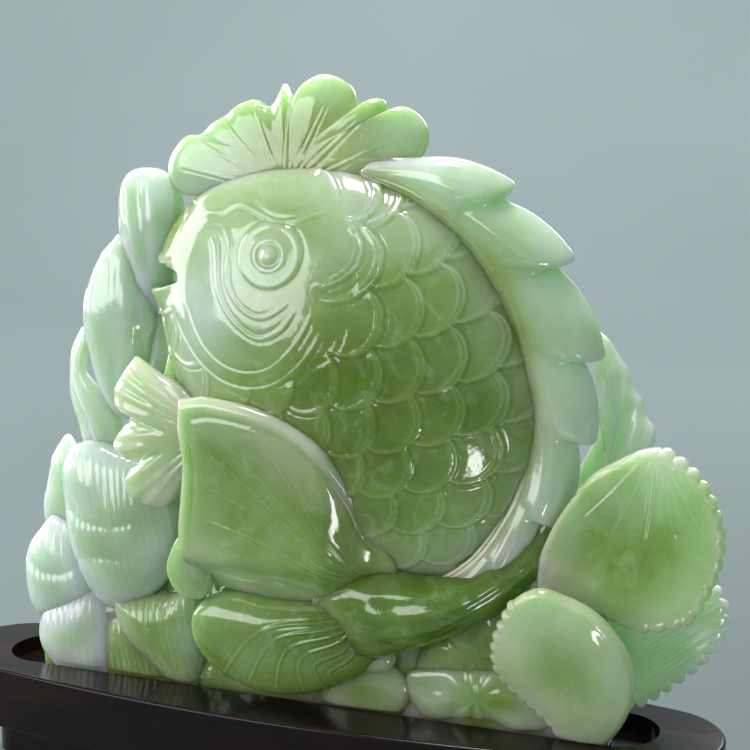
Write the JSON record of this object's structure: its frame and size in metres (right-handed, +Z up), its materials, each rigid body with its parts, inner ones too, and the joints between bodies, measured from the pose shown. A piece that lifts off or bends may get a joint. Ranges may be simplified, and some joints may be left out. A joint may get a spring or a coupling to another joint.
{
  "type": "jade figurine",
  "caption": "Translucent green jade carving of a curled carp among lotus leaves and petals, standing in the recess of an oval dark wooden stand.",
  "frame": {"origin": "middle of the stand's underside, on the surface it stands on", "axes": "+X to the right of the carving's front, along the stand's length; -Y towards the viewer; +Z up"},
  "size_m": [0.3, 0.075, 0.2722],
  "materials": {
    "jade": "polished translucent",
    "wood": "dark lacquer"
  },
  "bodies": {
    "stand": {"stand_apron": "wood", "stand_leg_back_left": "wood", "stand_leg_back_right": "wood", "stand_leg_front_left": "wood", "stand_leg_front_right": "wood", "stand_top": "wood"},
    "jade_carving": {"carp_body": "jade", "carp_dorsal_fin": "jade", "carp_pectoral_fin_back": "jade", "carp_pectoral_fin_front": "jade", "carp_tail_fin_lower": "jade", "carp_tail_fin_middle": "jade", "carp_tail_fin_upper": "jade", "carp_tail_stalk": "jade", "lotus_bud_lower": "jade", "lotus_bud_stem": "jade", "lotus_bud_upper": "jade", "lotus_leaf_back_right": "jade", "lotus_leaf_curled": "jade", "lotus_leaf_flat": "jade", "lotus_leaf_foot": "jade", "lotus_leaf_front_right": "jade", "lotus_leaf_rear": "jade", "lotus_leaf_right": "jade", "lotus_leaf_tall": "jade", "lotus_leaf_top": "jade", "lotus_leaf_under_tail": "jade", "lotus_petal_foot_behind": "jade", "lotus_petal_foot_left": "jade", "lotus_petal_foot_middle": "jade", "lotus_petal_front": "jade", "lotus_petal_left": "jade", "lotus_petal_tip_left": "jade", "lotus_seed_pod": "jade", "lotus_stem_right": "jade", "rock_base": "jade"}
  },
  "joints": [
    {"name": "jade_lift", "type": "slide", "parent": "stand", "child": "jade_carving", "axis": [0, 0, 1], "range_m": [0, 0.06]}
  ]
}
